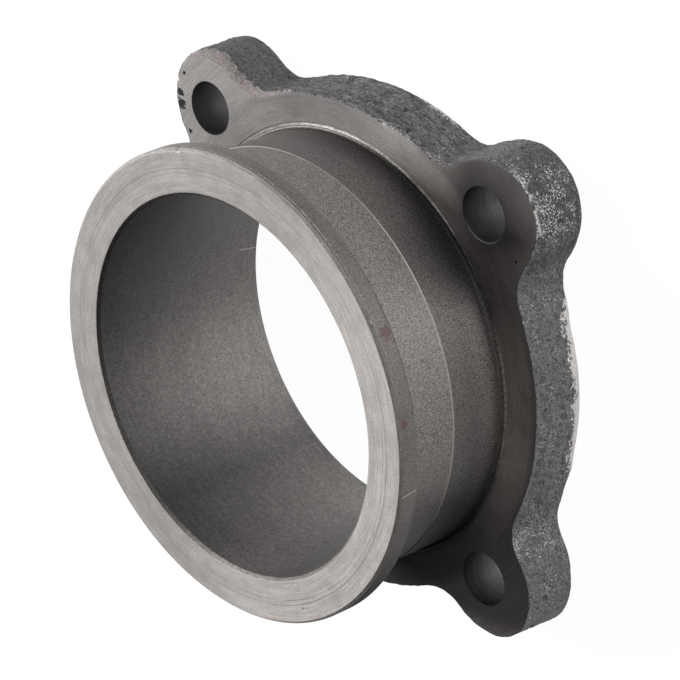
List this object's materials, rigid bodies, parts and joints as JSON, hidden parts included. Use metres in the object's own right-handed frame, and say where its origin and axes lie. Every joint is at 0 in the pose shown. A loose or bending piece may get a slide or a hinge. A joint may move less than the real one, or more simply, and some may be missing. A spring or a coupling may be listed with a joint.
{
  "type": "exhaust flange adapter",
  "caption": "Cast-iron exhaust adapter: a round eared flange with bolt holes, a short turned neck and a V-band rim around a straight gas bore.",
  "frame": {"origin": "centre of the gas bore in the plane of the bolted flange's mating face", "axes": "+Z along the bore axis from the bolted flange to the V-band face; the ears lie on the diagonals of X and Y"},
  "size_m": [0.0978, 0.0978, 0.0395],
  "materials": {
    "cast_iron": "dark rough as-cast skin on the flange's edge, bare turned iron on the faces, neck, rim and bore"
  },
  "bodies": {
    "root": {"flange_adapter": "cast_iron"}
  },
  "joints": []
}
